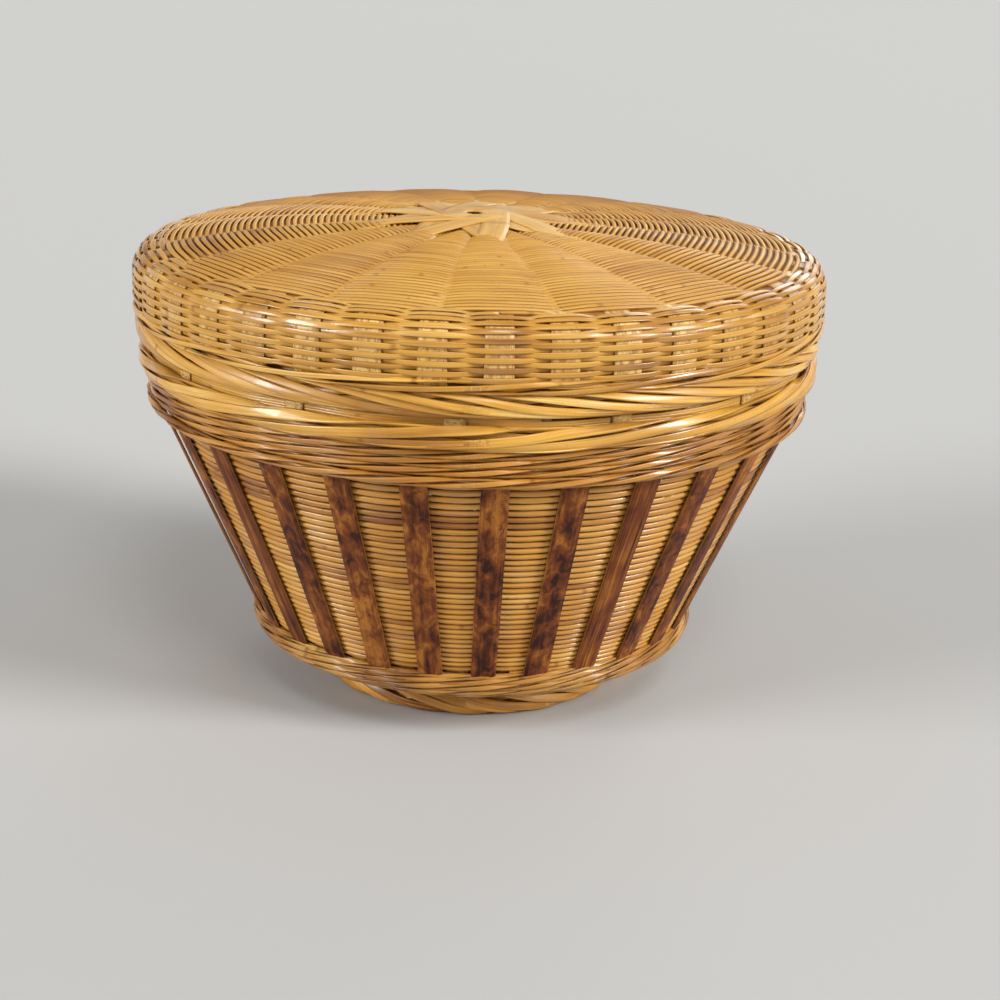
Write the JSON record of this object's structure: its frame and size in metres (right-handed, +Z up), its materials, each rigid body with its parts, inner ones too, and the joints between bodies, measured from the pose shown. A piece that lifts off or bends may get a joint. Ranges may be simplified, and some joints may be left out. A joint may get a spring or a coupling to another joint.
{
  "type": "lidded basket",
  "caption": "Round bamboo basket with a flared slatted side, twisted rim and foot ring, and a low domed lid that lifts off over an inner collar.",
  "frame": {"origin": "on the floor, on the basket's axis, at the middle of the foot ring's underside", "axes": "+Z up along the basket's axis; -Y is the front as pictured; +X to the right seen from the front"},
  "size_m": [0.2798, 0.2802, 0.1938],
  "materials": {
    "woven_rod": "varnished honey bamboo rods, satin",
    "border_splint": "varnished flat bamboo splints, satin gloss",
    "pale_splint": "pale fibrous bamboo inner splint, matt satin",
    "amber_splint": "darker amber bamboo, satin",
    "dark_slat": "dark mottled bamboo slat, satin gloss"
  },
  "bodies": {
    "basket": {"floor_weave": "woven_rod", "side_weave": "woven_rod", "collar_weave": "woven_rod", "collar_binding": "amber_splint", "stake_frame": "pale_splint", "dark_slat_01": "dark_slat", "dark_slat_02": "dark_slat", "dark_slat_03": "dark_slat", "dark_slat_04": "dark_slat", "dark_slat_05": "dark_slat", "dark_slat_06": "dark_slat", "dark_slat_07": "dark_slat", "dark_slat_08": "dark_slat", "dark_slat_09": "dark_slat", "dark_slat_10": "dark_slat", "dark_slat_11": "dark_slat", "dark_slat_12": "dark_slat", "dark_slat_13": "dark_slat", "dark_slat_14": "dark_slat", "dark_slat_15": "dark_slat", "dark_slat_16": "dark_slat", "dark_slat_17": "dark_slat", "dark_slat_18": "dark_slat", "dark_slat_19": "dark_slat", "dark_slat_20": "dark_slat", "dark_slat_21": "dark_slat", "dark_slat_22": "dark_slat", "dark_slat_23": "dark_slat", "dark_slat_24": "dark_slat", "dark_slat_25": "dark_slat", "dark_slat_26": "dark_slat", "dark_slat_27": "dark_slat", "dark_slat_28": "dark_slat", "upper_wale_1": "border_splint", "upper_wale_2": "border_splint", "upper_wale_3": "border_splint", "upper_wale_4": "border_splint", "heel_wale_1": "border_splint", "heel_wale_2": "border_splint", "foot_hoop": "amber_splint", "foot_strand_1": "amber_splint", "foot_strand_2": "amber_splint", "foot_strand_3": "amber_splint", "rim_hoop": "amber_splint", "rim_strand_1": "border_splint", "rim_strand_2": "border_splint", "rim_strand_3": "border_splint", "rim_strand_4": "border_splint"},
    "lid": {"lid_border_hoop": "amber_splint", "lid_border_strand_1": "border_splint", "lid_border_strand_2": "border_splint", "lid_border_strand_3": "border_splint", "lid_border_strand_4": "border_splint", "lid_skirt_weave": "woven_rod", "lid_dome_weave": "woven_rod", "lid_rib_frame": "pale_splint", "lid_hub_splints": "pale_splint"}
  },
  "joints": [
    {"name": "lid_lift", "type": "slide", "parent": "basket", "child": "lid", "axis": [0, 0, 1], "range_m": [0, 0.1]}
  ]
}
